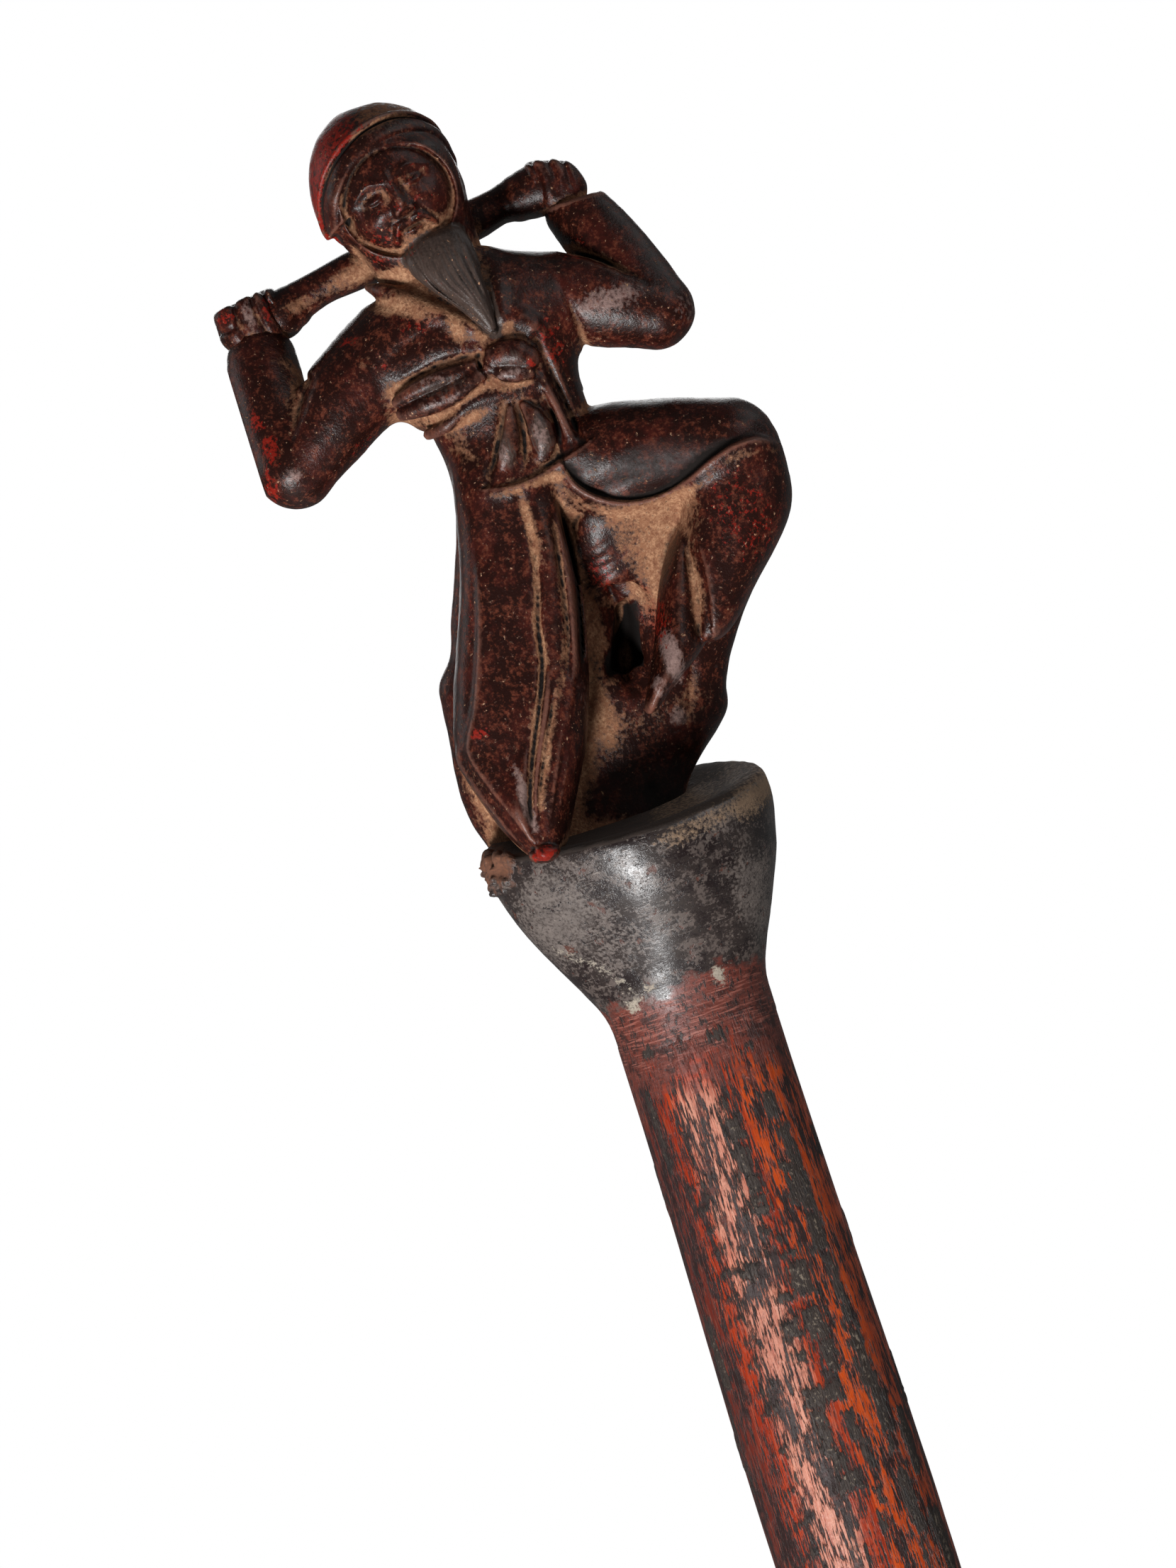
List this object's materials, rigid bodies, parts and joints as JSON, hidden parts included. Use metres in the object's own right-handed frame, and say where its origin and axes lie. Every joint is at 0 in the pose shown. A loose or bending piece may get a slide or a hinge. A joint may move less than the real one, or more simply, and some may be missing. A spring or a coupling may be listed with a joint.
{
  "type": "carved walking stick",
  "caption": "Wooden walking stick: a tapered lacquered shaft with a brass ferrule, a flared painted knob and a carved robed figure that carries a pole behind its neck.",
  "frame": {"origin": "centre of the tip stud's flat foot face", "axes": "+Z along the shaft towards the figure; the figure faces -Y; +X is towards the raised leg"},
  "size_m": [0.0714, 0.042, 0.8996],
  "materials": {
    "red_lacquer": "orange-red lacquer, worn, with flaking black patches",
    "grey_paint": "grey-black paint on wood, rubbed and scratched",
    "dark_lacquer": "dark maroon-brown lacquer with dust in the hollows",
    "pale_wood": "bare planed hardwood",
    "bamboo": "split bamboo",
    "aged_brass": "tarnished, dull",
    "worn_steel": "worn by the ground"
  },
  "bodies": {
    "root": {"shaft": "red_lacquer", "ferrule": "aged_brass", "tip_stud": "worn_steel", "ferrule_pin_1": "aged_brass", "ferrule_pin_2": "aged_brass", "shaft_dowel": "pale_wood", "knob": "grey_paint", "figure_dowel": "pale_wood", "figure_body": "dark_lacquer", "shoulder_pole": "dark_lacquer", "left_hand": "dark_lacquer", "right_hand": "dark_lacquer", "left_wrist_peg": "bamboo", "right_wrist_peg": "bamboo"}
  },
  "joints": []
}
